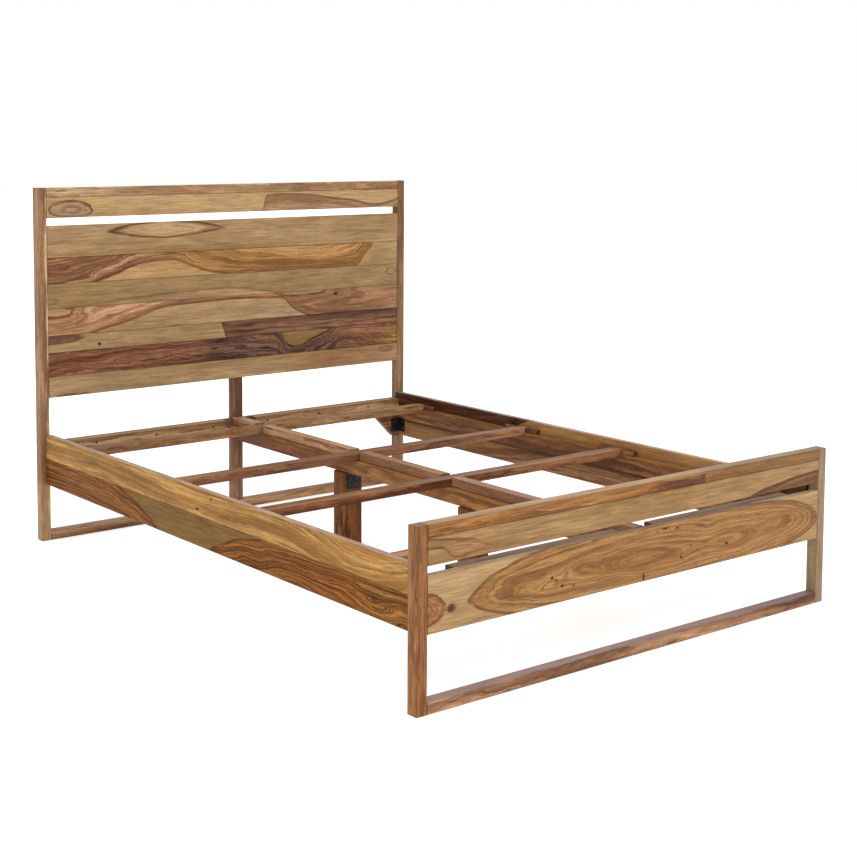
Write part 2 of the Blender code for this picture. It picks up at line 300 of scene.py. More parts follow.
SAP = wood_tones({
    "tan": ((200, 165, 122), (172, 136, 92)),
    "buff": ((190, 152, 110), (160, 124, 84)),
    "grey": ((182, 150, 116), (150, 119, 82)),
    "moss": ((170, 139, 102), (140, 110, 72)),
    "gold": ((190, 151, 108), (152, 114, 72)),
    "honey": ((188, 146, 96), (148, 104, 56)),
    "oak": ((164, 126, 88), (132, 94, 60)),
    "olive": ((148, 116, 78), (120, 90, 54)),
    # dim: darker tones for the inner timbers, partly their own darker wood and partly painted shade of the frame's
    # interior
    "dim": ((150, 112, 76), (120, 86, 56)),
    "dust": ((170, 126, 102), (134, 96, 76)),
    "dusk": ((122, 86, 70), (94, 64, 52)),
    # painted shade: the darkest sapwood, used only to paint shade on the foot end of the right side rail
    "painted_shade_brown": ((90, 62, 44), (66, 45, 32)),
})
HEART = wood_tones({
    "gold": ((190, 145, 98), (166, 120, 72), (118, 76, 40)),
    "amber": ((176, 126, 78), (144, 96, 58), (82, 46, 24)),
    "copper": ((187, 130, 76), (153, 99, 57), (87, 47, 24)),
    "orange": ((170, 120, 82), (148, 99, 65), (112, 70, 44)),
    "fawn": ((188, 150, 116), (164, 126, 93), (122, 84, 56)),
    "rust": ((198, 150, 116), (158, 112, 82), (92, 52, 36)),
    "red": ((148, 102, 78), (122, 79, 59), (80, 44, 32)),
    "brick": ((155, 110, 80), (128, 85, 61), (84, 48, 33)),
    "ruddy": ((138, 92, 64), (113, 71, 48), (74, 40, 26)),
    "garnet": ((145, 97, 73), (120, 75, 55), (78, 42, 30)),
    "russet": ((166, 124, 94), (144, 102, 73), (100, 62, 42)),
    "nut": ((161, 117, 83), (140, 96, 64), (97, 58, 37)),
    "purple": ((142, 106, 84), (117, 82, 63), (72, 48, 40)),
    "plum": ((124, 88, 74), (90, 62, 54), (48, 32, 31)),
    "pink": ((202, 156, 126), (178, 132, 99), (112, 66, 42)),
    "rose": ((205, 172, 134), (191, 157, 119), (104, 62, 38)),
    "brown": ((140, 104, 78), (116, 80, 58), (74, 46, 34)),
    "faint": ((192, 158, 122), (174, 141, 106), (108, 74, 48)),
    "burl": ((190, 142, 88), (138, 94, 56), (72, 42, 25)),
    "oakheart": ((164, 122, 72), (138, 98, 58), (92, 60, 34)),
    "burr": ((208, 173, 144), (181, 146, 116), (98, 60, 41)),
    "pear": ((216, 170, 121), (208, 161, 114), (126, 83, 50)),
    "fig": ((184, 140, 94), (170, 125, 78), (108, 66, 36)),
    "wheat": ((200, 158, 104), (172, 130, 80), (118, 80, 44)),
    "umber": ((92, 58, 42), (70, 42, 31), (46, 28, 22)),
})


# how far each piece's own boards lean from those tones, for red, green and blue
TINT = {
    "headboard_top_rail": (1.24, 1.42, 1.56), "headboard_top_board": (0.84, 0.86, 0.87),
    "headboard_plank_1": (0.83, 0.83, 0.80), "headboard_plank_2": (0.90, 0.92, 0.88),
    "headboard_plank_3": (0.84, 0.84, 0.82), "headboard_plank_4": (0.92, 0.94, 0.94),
    "headboard_plank_5": (1.05, 1.10, 1.23), "headboard_plank_6": (1.05, 1.07, 1.01),
    "headboard_plank_7": (1.00, 1.07, 1.17),
    "headboard_post_left": (1.12, 1.30, 1.45), "headboard_post_right": (0.87, 1.01, 1.12),
    "footboard_top_rail": (0.80, 0.72, 0.60), "footboard_upper_board": (0.72, 0.73, 0.70),
    "footboard_lower_panel": (0.80, 0.79, 0.72), "footboard_floor_runner": (1.14, 1.26, 1.35),
    "footboard_post_left": (0.74, 0.69, 0.59), "footboard_post_right": (0.67, 0.73, 0.86),
    "side_rail_left": (0.69, 0.62, 0.38), "side_rail_right": (0.89, 0.94, 0.91),
    "slat_1": (1.14, 1.34, 1.29), "slat_2": (1.16, 1.30, 1.33), "slat_3": (1.18, 1.00, 0.92),
    "slat_4": (1.15, 1.15, 1.1),
    "headboard_ledger_left": (1.11, 1.35, 1.27), "headboard_ledger_right": (1.11, 1.35, 1.27),
    "headboard_centre_post": (1.36, 1.53, 1.89), "centre_beam": (1.09, 0.97, 0.57),
    "headboard_floor_runner": (1.12, 1.25, 1.30), "side_ledger_left": (1.2, 1.15, 1.05), "side_ledger_right": (1.07, 0.90, 0.60),
    "centre_leg_1": (0.85, 0.67, 0.48), "centre_leg_2": (0.85, 0.67, 0.48),
}
STRIP_TINT = (1.25, 1.35, 1.45)


def tinted(colours, tint):
    return [(*(c * k for c, k in zip(colour, tint)), 1.0) for colour in colours]


def region(g, u, v, feature, low, high):
    """Distance from one feature's border, negative inside it."""
    kind = feature[0]
    if kind in ("eye", "lens"):          # an uneven ellipse, or a shape with pointed ends: centre u, v and half lengths
        _, cu, cv, ru, rv = feature
        wander = g.noise(g.xyz(g.math("MULTIPLY", u, 0.9 / ru), g.math("MULTIPLY", v, 0.9 / rv), cu * 7.0),
                         detail=3.0, rough=0.6)
        d = g.vec("MULTIPLY", g.vec("SUBTRACT", g.xyz(u, v, 0.0), (cu, cv, 0.0)), (1 / ru, 1 / rv, 0.0))
        size = rv
        if kind == "lens":
            parts = g.add("ShaderNodeSeparateXYZ")
            g.put(parts.inputs[0], g.vec("ABSOLUTE", d))
            d = g.math("ADD", g.math("POWER", parts.outputs[0], 1.25), g.math("POWER", parts.outputs[1], 1.6))
        else:
            slope = g.vec("LENGTH", g.vec("MULTIPLY", d, (1 / ru, 1 / rv, 0.0)))
            d = g.vec("LENGTH", d)
            size = g.math("MINIMUM", g.math("DIVIDE", d, g.math("MAXIMUM", slope, 0.001)), 3.2 * rv)
            size = g.blend(g.remap(d, 0.55, 0.95), rv, size)
        d = g.math("MULTIPLY_ADD", g.math("SUBTRACT", wander, 0.5), min(0.9, 0.016 / rv), d)
        return g.math("MULTIPLY", g.math("SUBTRACT", d, 1.0), size)
    if kind in ("below", "above"):       # the near side of a curve v(u)
        room = (high - low) * 0.8
        b = g.curve(u, feature[1], low - room, high + room)
        return g.math("SUBTRACT", v, b) if kind == "below" else g.math("SUBTRACT", b, v)
    if kind == "band":                   # between two curves v(u), the upper one first
        room = (high - low) * 0.8
        over = g.math("SUBTRACT", v, g.curve(u, feature[1], low - room, high + room))
        under = g.math("SUBTRACT", g.curve(u, feature[2], low - room, high + room), v)
        return g.math("MAXIMUM", over, under)
    if kind == "flow":                   # one kind of wood all over, its lines following a curve v(u)
        _, base, points = feature
        room = (high - low) * 0.8
        return g.math("ADD", g.math("SUBTRACT", v, g.curve(u, points, low - room, high + room)), base)
    if kind == "flat":                   # all heartwood (below zero) or all sapwood, lines across v
        _, base, slope = feature
        return g.math("MULTIPLY_ADD", v, slope, base - slope * (low + high) / 2)
    raise ValueError(kind)


def field_of(g, u, v, spec, low, high):
    """The heartwood distance of one run of timber."""
    field = None
    for feature in spec.get("heart", []):
        d = region(g, u, v, feature, low, high)
        if field is None:
            field = d
        else:
            node = g.add("ShaderNodeMath", operation="SMOOTH_MIN")
            for socket, value in zip(node.inputs, (field, d, 0.012)):
                g.put(socket, value)
            field = node.outputs[0]
    if field is None:
        field = region(g, u, v, ("flat", spec.get("base", 0.05), spec.get("slope", 0.35)), low, high)
    for feature in spec.get("pale", []):
        d = region(g, u, v, feature, low, high)
        field = g.math("MAXIMUM", field, g.math("MULTIPLY", d, -1.0))
    for cu, cv, ru, rv, rise in spec.get("swells", []):
        d = g.vec("MULTIPLY", g.vec("SUBTRACT", g.xyz(u, v, 0.0), (cu, cv, 0.0)), (1 / ru, 1 / rv, 0.0))
        d2 = g.vec("DOT_PRODUCT", d, d)
        hill = g.math("EXPONENT", g.math("MULTIPLY", d2, -1.0))
        field = g.math("MULTIPLY_ADD", hill, -rise, field)
    return field


def palette(g, u, spec, tint):
    """The five colours of one run of timber, which may change along it."""
    tint = spec.get("tint", tint)
    sap_tint = spec.get("sap_tint", tint)
    colours = tinted(SAP[spec.get("sap", "tan")], sap_tint) + tinted(HEART[spec.get("tone", "red")], tint)
    for start, end, sap_name, heart_name in spec.get("turns", []):
        m = g.remap(u, start, end)
        others = tinted(SAP[sap_name], sap_tint) + tinted(HEART[heart_name], tint)
        colours = [g.mix(m, p, q) for p, q in zip(colours, others)]
    return colours


def wood(node, grain, face, spec):
    """A timber material for one piece. grain is the axis the fibres run along, face the one its broad side looks along."""
    lo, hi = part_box(node)
    a = "xyz".index(grain)
    c = "xyz".index(face[-1])
    b = 3 - a - c
    mat = bpy.data.materials.new("timber_" + node)
    mat.use_nodes = True
    tree = mat.node_tree
    shader = tree.nodes["Principled BSDF"]
    shader.location = (2400, 0)
    tree.nodes["Material Output"].location = (2700, 0)
    g = Graph(tree)
    split = g.add("ShaderNodeSeparateXYZ")
    g.put(split.inputs[0], g.add("ShaderNodeTexCoord").outputs["Object"])
    u, v, w = (split.outputs[k] for k in (a, b, c))
    front = lo[c] if face[0] == "-" else hi[c]
    sign = 1.0 if face[0] == "-" else -1.0
    deep = g.math("MULTIPLY", g.math("SUBTRACT", w, front), sign)      # 0 on the broad side, growing inwards

    low, high = lo[b], hi[b]
    seed = spec.get("seed", 0.0)
    shift = 0.0
    # the growth lines lean, so that they carry on round the edges
    vv = g.math("MULTIPLY_ADD", deep, spec.get("lean", 0.5), v)
    field = field_of(g, u, vv, spec, low, high)
    tint = TINT.get(node, STRIP_TINT if "strip" in node else (1.0, 1.0, 1.0))
    colours = palette(g, u, spec, tint)
    seam = 0.0
    second_spec = spec["splice"][2] if "splice" in spec else spec["seam"][1] if "seam" in spec else None
    if "splice" in spec:                 # a glued joint across the run: at, slant, then the second run
        at, slant, other = spec["splice"]
        x = g.math("SUBTRACT", u, g.math("MULTIPLY_ADD", v, slant, at - slant * (low + high) / 2))
        second = g.remap(x, -0.0004, 0.0004)
        seam = g.remap(g.math("ABSOLUTE", x), 0.0004, 0.0014, 0.7, 0.0)
    elif "seam" in spec:                 # a glued joint along it: height, then the run above it
        at, other = spec["seam"]
        x = g.math("SUBTRACT", v, at)
        second = g.remap(x, -0.0004, 0.0004)
        seam = g.remap(g.math("ABSOLUTE", x), 0.0002, 0.0013, 1.0, 0.0)
    if "splice" in spec or "seam" in spec:
        field = g.blend(second, field, field_of(g, u, vv, other, low, high))
        colours = [g.mix(second, p, q) for p, q in zip(colours, palette(g, u, other, tint))]
        shift = g.math("MULTIPLY", second, 5.31)
    for at, half_width, strength in spec.get("shadows", []):            # painted shadow: a dark band along v = at, drawn into the seam mask as shade under a ledger
        band = g.remap(g.math("ABSOLUTE", g.math("SUBTRACT", v, at)), half_width * 0.4, half_width, strength, 0.0)
        seam = g.math("MAXIMUM", seam, band)

    knot = 0.0
    for cu, cv, ru, rv, *depth in spec.get("knots", []):
        d = g.vec("MULTIPLY", g.vec("SUBTRACT", g.xyz(u, v, 0.0), (cu, cv, 0.0)), (1 / ru, 1 / rv, 0.0))
        wob = g.noise(g.vec("MULTIPLY", g.xyz(u, v, deep), (130.0, 190.0, 190.0)), detail=2.0)
        d = g.math("MULTIPLY_ADD", g.math("SUBTRACT", wob, 0.5), 1.1, g.vec("LENGTH", d))
        k = g.remap(d, 0.35, 1.5, depth[0] if depth else 1.0, 0.0)
        knot = g.math("MAXIMUM", knot, k)
        pull = g.math("EXPONENT", g.math("MULTIPLY", g.math("MULTIPLY", d, d), -0.14))
        field = g.math("MULTIPLY_ADD", pull, -0.6 * rv, field)

    # distance from the piece's own edges and ends
    half = [(hi[k] - lo[k]) / 2 for k in range(3)]
    mid = [(hi[k] + lo[k]) / 2 for k in range(3)]
    depths = [g.math("SUBTRACT", half[k], g.math("ABSOLUTE", g.math("SUBTRACT", split.outputs[k], mid[k])))
              for k in range(3)]
    p, q, r = depths
    edge = g.math("MAXIMUM", g.math("MINIMUM", p, q), g.math("MINIMUM", g.math("MAXIMUM", p, q), r))
    end = g.remap(depths[a], 0.0003, 0.0008, 1.0, 0.0)

    def own(key, usual):
        """A number of this timber, or of each of its two runs."""
        first = spec.get(key, usual)
        last = second_spec.get(key, first) if second_spec else first
        return first if first == last else g.blend(second, first, last)

    group = g.add("ShaderNodeGroup", node_tree=TIMBER)
    place = g.vec("ADD", g.xyz(u, v, deep), g.xyz(g.math("ADD", shift, 3.17 * seed), 1.31 * seed, 2.63 * seed))
    for name, value in (("Place", place), ("Field", field), ("Knot", knot), ("Edge", edge), ("End", end),
                        ("Seam", seam), ("Sap Light", colours[0]), ("Sap Deep", colours[1]),
                        ("Heart Light", colours[2]), ("Heart Mid", colours[3]), ("Heart Dark", colours[4]),
                        ("Pitch", own("pitch", 150.0)), ("Warp", own("warp", 0.010)),
                        ("Sap Lines", own("sap_lines", 0.45)), ("Heart Lines", own("heart_lines", 0.9)),
                        ("Border", own("border", 0.6)), ("Edge Tone", spec.get("edge_tone", -0.20)),
                        ("Swirl", own("swirl", 0.010)), ("Drift", own("drift", 0.0))):
        g.put(group.inputs[name], value)
    colour = group.outputs["Colour"]
    if spec.get("top"):                  # painted light and shade: upward faces are blended towards the top tone as their normal points up, a painted sheen where that tone is pale and a painted shade where it is dark
        up = g.add("ShaderNodeSeparateXYZ")
        g.put(up.inputs[0], g.add("ShaderNodeNewGeometry").outputs["Normal"])
        painted_top_light_mottle = g.noise(g.vec("MULTIPLY", g.xyz(u, v, deep), (9.0, 60.0, 60.0)), detail=3.0, rough=0.6)
        pale = g.math("MULTIPLY", g.remap(up.outputs[2], 0.55, 0.95), g.remap(painted_top_light_mottle, 0.3, 0.7, 0.6, 1.25, smooth=False))
        colour = g.mix(g.math("MULTIPLY", pale, spec["top"]), colour, (*spec.get("painted_top_tone", (0.64, 0.56, 0.48)), 1.0))
    g.put(shader.inputs["Base Color"], colour)
    g.put(shader.inputs["Roughness"], group.outputs["Roughness"])
    g.put(shader.inputs["Normal"], group.outputs["Normal"])
    shader.inputs["Specular IOR Level"].default_value = spec.get("gloss", 0.12)
    return mat


# ------------------------------------------------------------------ timbers
def ease(obj, width):
    """Takes the sharpness off a kept piece's edges."""
    mod = obj.modifiers.new("eased", "BEVEL")
    mod.width = width
    mod.segments = 3
    mod.limit_method = "ANGLE"
    mod.angle_limit = math.radians(40.0)
    mod.use_clamp_overlap = True


def timber(node, grain, mat, long_r=0.0018, end_r=0.0006, body="frame"):
    """A sawn and sanded timber in the node's own box: rounded along the grain, crisp where it butts."""
    lo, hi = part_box(node)
    mesh = bpy.data.meshes.new("look_" + node)
    bm = bmesh.new()
    bmesh.ops.create_cube(bm, size=1.0)
    size, mid = hi - lo, (hi + lo) / 2
    for vert in bm.verts:
        for k in range(3):
            vert.co[k] = vert.co[k] * size[k] + mid[k]
    axis = "xyz".index(grain)
    weights = bm.edges.layers.float.new("bevel_weight_edge")
    widest = max(long_r, end_r)
    for e in bm.edges:
        run = (e.verts[1].co - e.verts[0].co).normalized()
        e[weights] = (long_r if abs(run[axis]) > 0.9 else end_r) / widest
    bm.to_mesh(mesh)
    bm.free()
    obj = bpy.data.objects.new("look_" + node, mesh)
    bpy.context.scene.collection.objects.link(obj)
    mod = obj.modifiers.new("rounded", "BEVEL")
    mod.width = widest
    mod.segments = 3
    mod.limit_method = "WEIGHT"
    mesh.materials.append(mat)
    for poly in mesh.polygons:
        poly.use_smooth = True
    even = obj.modifiers.new("even", "WEIGHTED_NORMAL")
    even.keep_sharp = False
    even.weight = 100
    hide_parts(node)
    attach(obj, body)
    return obj


HEADBOARD = {
    "headboard_top_rail": dict(
        seed=1.0, sap="tan", tone="fawn", base=-0.010, slope=0.5, warp=0.024, pitch=150, heart_lines=0.75, top=0.25,
        turns=[(0.20, 0.30, "tan", "russet")], knots=[(0.205, 1.228, 0.030, 0.014, 0.5)], swirl=0.020, border=0.3),
    "headboard_top_board": dict(
        seed=2.0, sap="tan", tone="burr", sap_lines=0.30, heart_lines=0.50, warp=0.006, pitch=130, border=0.95,
        turns=[(-0.45, -0.30, "tan", "fawn")],
        heart=[("eye", -0.676, 1.160, 0.082, 0.031),
               ("below", [(-0.77, 1.10), (0.105, 1.10), (0.121, 1.150), (0.128, 1.182), (0.150, 1.196),
                          (0.275, 1.197), (0.40, 1.184), (0.548, 1.165), (0.654, 1.149), (0.738, 1.160),
                          (0.77, 1.181)])]),
    "headboard_plank_1": dict(
        seed=3.0, sap="grey", tone="rose", sap_lines=0.40, heart_lines=0.15, warp=0.004, pitch=120, border=1.0,
        heart=[("lens", -0.300, 1.080, 0.235, 0.031)]),
    "headboard_plank_2": dict(
        seed=4.0, sap="buff", tone="rust", swirl=0.022, warp=0.008, pitch=130, heart_lines=0.80, border=0.85, sap_lines=0.2,
        heart=[("above", [(-0.77, 0.880), (-0.62, 0.898), (-0.50, 0.925), (-0.452, 0.944), (-0.378, 0.960),
                          (-0.273, 0.965), (-0.188, 0.939), (-0.104, 0.913), (-0.041, 0.904), (0.02, 0.895),
                          (0.53, 0.890), (0.572, 0.912), (0.600, 0.946), (0.632, 0.975), (0.655, 1.0),
                          (0.77, 1.02)])],
        turns=[(-0.46, -0.22, "buff", "gold"), (0.60, 0.66, "grey", "gold")], swells=[(0.25, 0.965, 0.30, 0.030, 0.016), (-0.70, 0.945, 0.05, 0.014, 0.016),
                                                                  (-0.57, 0.930, 0.06, 0.012, -0.012), (0.02, 0.950, 0.08, 0.016, 0.014),
                                                                  (0.42, 0.945, 0.07, 0.016, 0.012)]),
    "headboard_plank_3": dict(
        seed=5.0, sap="moss", tone="faint", warp=0.006, pitch=110, heart_lines=0.25, border=0.55, sap_lines=0.45,
        heart=[("below", [(-0.77, 0.79), (-0.66, 0.815), (-0.50, 0.832), (-0.35, 0.842), (-0.19, 0.846),
                          (-0.08, 0.850), (0.05, 0.842), (0.13, 0.830), (0.25, 0.812), (0.35, 0.79),
                          (0.77, 0.78)]),
               ("eye", -0.757, 0.842, 0.028, 0.010), ("eye", 0.735, 0.873, 0.030, 0.014)]),
    "headboard_plank_4": dict(
        seed=6.0, sap="grey", tone="pink", swirl=0.022, warp=0.008, pitch=120, heart_lines=0.60, border=1.0, sap_lines=0.35,
        heart=[("above", [(-0.77, 0.700), (-0.62, 0.714), (-0.56, 0.730), (-0.45, 0.755), (-0.37, 0.777),
                          (-0.315, 0.793), (-0.20, 0.799), (0.0, 0.805), (0.12, 0.803), (0.20, 0.799),
                          (0.228, 0.782), (0.255, 0.757), (0.295, 0.735), (0.335, 0.720), (0.40, 0.705),
                          (0.77, 0.700)])],
        pale=[("eye", -0.735, 0.803, 0.060, 0.017), ("eye", 0.30, 0.815, 0.110, 0.014)],
        turns=[(0.18, 0.26, "grey", "russet")], knots=[(0.459, 0.797, 0.012, 0.007)],
        swells=[(0.52, 0.770, 0.14, 0.03, 0.018)]),
    "headboard_plank_5": dict(
        seed=7.0, sap="moss", tone="purple", warp=0.005, pitch=120, heart_lines=0.85, border=0.5, sap_lines=0.4,
        heart=[("eye", -0.76, 0.706, 0.125, 0.015)], knots=[(-0.569, 0.679, 0.008, 0.006)],
        swirl=0.022, splice=(-0.0565, -0.35, dict(base=-0.03, slope=0.7, sap="tan", tone="purple", tint=(0.88, 0.82, 0.78)))),
    "headboard_plank_6": dict(
        seed=8.0, sap="olive", tone="red", warp=0.012, swirl=0.045, pitch=130, heart_lines=0.95, border=0.85, sap_lines=0.4,
        heart=[("below", [(-0.77, 0.70), (0.15, 0.70), (0.203, 0.665), (0.214, 0.636), (0.236, 0.615),
                          (0.272, 0.606), (0.338, 0.622), (0.43, 0.655), (0.47, 0.685), (0.52, 0.70),
                          (0.77, 0.70)])],
        turns=[(-0.22, -0.06, "olive", "plum"), (0.34, 0.60, "olive", "brick"), (0.66, 0.73, "gold", "oakheart")],
        swells=[(0.48, 0.600, 0.11, 0.045, 0.022)]),
    "headboard_plank_7": dict(
        seed=9.0, sap="moss", tone="russet", warp=0.005, pitch=110, heart_lines=0.5, border=0.5, sap_lines=0.40,
        heart=[("eye", 0.706, 0.557, 0.035, 0.013), ("eye", -0.67, 0.500, 0.080, 0.012)],
        turns=[(0.0, 0.5, "oak", "russet")]),
}
for name, spec in HEADBOARD.items():
    timber(name, "x", wood(name, "x", "-y", spec), 0.0022 if "rail" in name else 0.0012, 0.0005)

FOOTBOARD = {
    "footboard_top_rail": dict(
        seed=11.0, sap="gold", tone="gold", base=-0.006, slope=0.5, warp=0.016, pitch=160, heart_lines=0.7, top=0.14,
        border=0.3, turns=[(0.02, 0.10, "gold", "garnet")],
        swells=[(0.045, 0.462, 0.060, 0.010, 0.010)],
        splice=(0.248, 0.0, dict(base=0.03, slope=0.4, sap="gold", tone="gold", tint=(0.51, 0.43, 0.34)))),
    "footboard_upper_board": dict(
        seed=12.0, sap="gold", tone="pear", warp=0.010, pitch=120, heart_lines=0.55, border=0.90, sap_lines=0.45,
        heart=[("band", [(-0.77, 0.446), (-0.72, 0.438), (-0.66, 0.431), (-0.62, 0.425), (-0.595, 0.411),
                         (-0.560, 0.398), (-0.50, 0.360), (0.77, 0.35)],
                [(-0.77, 0.420), (-0.72, 0.414), (-0.70, 0.400), (-0.662, 0.386), (-0.62, 0.391),
                 (-0.560, 0.397), (-0.50, 0.440), (0.77, 0.46)]),
               ("below", [(-0.77, 0.330), (0.38, 0.360), (0.422, 0.373), (0.506, 0.3905), (0.580, 0.401),
                          (0.654, 0.4095), (0.759, 0.417), (0.77, 0.418)])],
        turns=[(0.2, 0.5, "gold", "nut")]),
    "footboard_lower_panel": dict(
        seed=13.0, sap="tan", sap_tint=(0.77, 0.775, 0.82), tone="fig", warp=0.006, pitch=260, heart_lines=0.68, border=0.90, sap_lines=0.3, swirl=0.014,
        heart=[("eye", 0.064, 0.272, 0.700, 0.108), ("eye", -0.785, 0.266, 0.068, 0.043)],
        turns=[(-0.700, -0.735, "tan", "orange")],
        swells=[(-0.051, 0.272, 0.17, 0.045, 0.045), (0.396, 0.266, 0.14, 0.045, 0.045),
                (-0.32, 0.262, 0.12, 0.040, 0.028), (-0.235, 0.288, 0.055, 0.022, 0.016),
                (0.14, 0.246, 0.050, 0.020, 0.016), (-0.360, 0.250, 0.035, 0.018, 0.016),
                (0.60, 0.290, 0.110, 0.030, 0.018), (0.26, 0.315, 0.060, 0.016, -0.014),
                (-0.10, 0.232, 0.060, 0.016, -0.014)],
        knots=[(-0.690, 0.258, 0.018, 0.013, 0.72), (-0.346, 0.274, 0.006, 0.005, 0.90), (-0.331, 0.267, 0.005, 0.003, 0.65),
               (-0.309, 0.247, 0.007, 0.004, 0.90), (-0.340, 0.256, 0.004, 0.003, 0.60), (-0.268, 0.240, 0.005, 0.003, 0.75),
               (0.154, 0.247, 0.006, 0.004, 0.80), (0.165, 0.254, 0.003, 0.003, 0.55), (0.346, 0.256, 0.007, 0.005, 0.85),
               (0.337, 0.262, 0.004, 0.002, 0.55), (0.318, 0.216, 0.005, 0.003, 0.55), (0.085, 0.340, 0.013, 0.004, 0.80),
               (0.103, 0.335, 0.007, 0.002, 0.55), (0.135, 0.334, 0.011, 0.003, 0.80), (0.053, 0.334, 0.010, 0.002, 0.45),
               (0.001, 0.216, 0.004, 0.012)]),
}
for name, spec in FOOTBOARD.items():
    timber(name, "x", wood(name, "x", "-y", spec), 0.0022 if "rail" in name else 0.0012, 0.0005)

RUNNERS = {
    "headboard_floor_runner": dict(seed=14.0, tone="russet", base=-0.02, slope=0.6, warp=0.018, pitch=110),
    "footboard_floor_runner": dict(seed=15.0, tone="russet", base=-0.008, slope=0.6, warp=0.028, pitch=150, top=0.34,
                                   # painted light: the runner's upward face is blended towards a grey-blue tone by its
                                   # normal
                                   painted_top_tone=(0.21, 0.20, 0.27), sap="dust", heart_lines=0.9,
                                   turns=[(0.25, 0.65, "dusk", "red")]),
}
for name, spec in RUNNERS.items():
    timber(name, "x", wood(name, "x", "-y", spec), 0.0022, 0.0005)

POSTS = {
    "headboard_post_left": dict(seed=16.0, tone="russet", base=-0.006, slope=0.5, warp=0.018, pitch=120, sap="tan",
                                heart_lines=0.6, turns=[(0.22, 0.19, "gold", "fawn")]),
    "headboard_post_right": dict(seed=17.0, tone="russet", base=0.000, slope=0.4, warp=0.018, pitch=110, sap="oak",
                                 heart_lines=0.6),
    "footboard_post_left": dict(seed=18.0, top=0.16, tone="orange", base=-0.016, slope=0.5, warp=0.014, pitch=120,
                                heart_lines=0.6),
    "footboard_post_right": dict(seed=19.0, top=0.16, tone="gold", base=0.010, slope=0.4, warp=0.012, pitch=110, sap="grey",
                                 heart_lines=0.5),
}
for name, spec in POSTS.items():
    timber(name, "z", wood(name, "z", "-y", spec), 0.0025, 0.0015)

SIDE_CURVE = [(-1.04, 0.33), (-0.42, 0.325), (-0.33, 0.292), (-0.25, 0.272), (-0.15, 0.240), (-0.07, 0.208),
              (-0.04, 0.180), (0.21, 0.180), (0.257, 0.204), (0.33, 0.238), (0.40, 0.263), (0.486, 0.286),
              (0.60, 0.320), (1.04, 0.33)]
SIDE_RAILS = {
    "side_rail_left": dict(
        seed=20.0, sap="olive", tone="amber", warp=0.010, pitch=330, heart_lines=1.0, border=0.8, sap_lines=0.70, gloss=0.04, top=0.30,
        # painted sheen: the rail's upward face is blended towards a pale grey
        painted_top_tone=(0.50, 0.49, 0.48),
        sap_tint=(0.70, 0.68, 0.54), turns=[(0.15, -0.05, "olive", "copper"), (-0.74, -0.92, "olive", "burl")],
        heart=[("below", SIDE_CURVE)], swells=[(-0.50, 0.200, 0.16, 0.040, 0.075), (0.78, 0.198, 0.26, 0.034, 0.060),
                                           (0.45, 0.215, 0.10, 0.030, 0.020), (-0.24, 0.235, 0.06, 0.030, 0.020),
                                           (-0.37, 0.222, 0.05, 0.022, -0.018), (-0.74, 0.250, 0.07, 0.030, 0.026),
                                           (-0.88, 0.225, 0.09, 0.028, -0.030), (-0.99, 0.250, 0.06, 0.030, 0.030)],
        swirl=0.036, drift=0.9,
        seam=(0.294, dict(heart=[("flow", -0.10, [(-1.04, 0.345), (-0.97, 0.322), (-0.88, 0.306), (-0.80, 0.304),
                                                  (-0.70, 0.318), (-0.55, 0.343), (-0.42, 0.356), (-0.20, 0.350),
                                                  (0.00, 0.343), (0.15, 0.349), (0.30, 0.360), (0.55, 0.368),
                                                  (1.04, 0.366)])],
                          swells=[(0.02, 0.325, 0.10, 0.016, 0.012), (0.62, 0.330, 0.16, 0.020, 0.012)],
                          swirl=0.012, drift=0.0, warp=0.008, pitch=170, heart_lines=0.60, border=0.0,
                          sap="honey", tone="wheat", tint=(0.85, 0.82, 0.71))),
        knots=[(0.007, 0.313, 0.010, 0.004), (-0.071, 0.356, 0.006, 0.004)]),
    "side_rail_right": dict(
        seed=21.0, sap="dim", tone="russet", tint=(0.76, 0.78, 0.74), sap_tint=(0.95, 0.90, 0.84), warp=0.010, pitch=150, heart_lines=0.7, border=0.6, gloss=0.06, top=0.30,
        heart=[("below", [(-1.04, 0.18), (-0.70, 0.20), (-0.3, 0.27), (0.2, 0.262), (0.6, 0.22), (1.04, 0.19)])],
        seam=(0.294, dict(heart=[("above", [(-1.04, 0.40), (0.08, 0.395), (0.24, 0.372), (0.30, 0.340),
                                            (0.36, 0.300), (0.44, 0.270), (1.04, 0.26)])],
                          sap="oak", tone="umber", tint=(0.95, 0.80, 0.62), sap_tint=(1.00, 0.98, 0.86),
                          # painted shade: the upper run's foot end turns to dark tones, standing for the shade on the
                          # rail's inner side behind the footboard
                          turns=[(-0.86, -0.96, "painted_shade_brown", "umber")])),
        # painted shade: the lower run's foot end turns dark the same way, and shadows paints a shadow band under the
        # ledger
        turns=[(-0.88, -0.96, "painted_shade_brown", "umber")], shadows=[(0.268, 0.011, 1.0)]),
}
timber("side_rail_left", "y", wood("side_rail_left", "y", "-x", SIDE_RAILS["side_rail_left"]), 0.0035, 0.0006)
timber("side_rail_right", "y", wood("side_rail_right", "y", "-x", SIDE_RAILS["side_rail_right"]), 0.0035, 0.0006)

# slats, beam, strips, legs and the small framing timbers
# painted light and shade on the slats' upward faces: slat 1's top is painted darker, the others' tops slightly paler
for k in range(1, 5):
    name = f"slat_{k}"
    timber(name, "x", wood(name, "x", "+z", dict(seed=22.0 + k, tone=("russet", "red", "brown", "russet")[k - 1], sap="dim",
                                                 base=-0.012, slope=0.5, warp=0.020, pitch=130, heart_lines=0.8,
                                                 gloss=0.02 if k == 1 else 0.06,
                                                 top=(0.30, 0.08, 0.13, 0.05)[k - 1],
                                                 painted_top_tone=((0.20, 0.10, 0.04) if k == 1 else (0.64, 0.45, 0.25)))),
           0.0025, 0.0015, body=name)
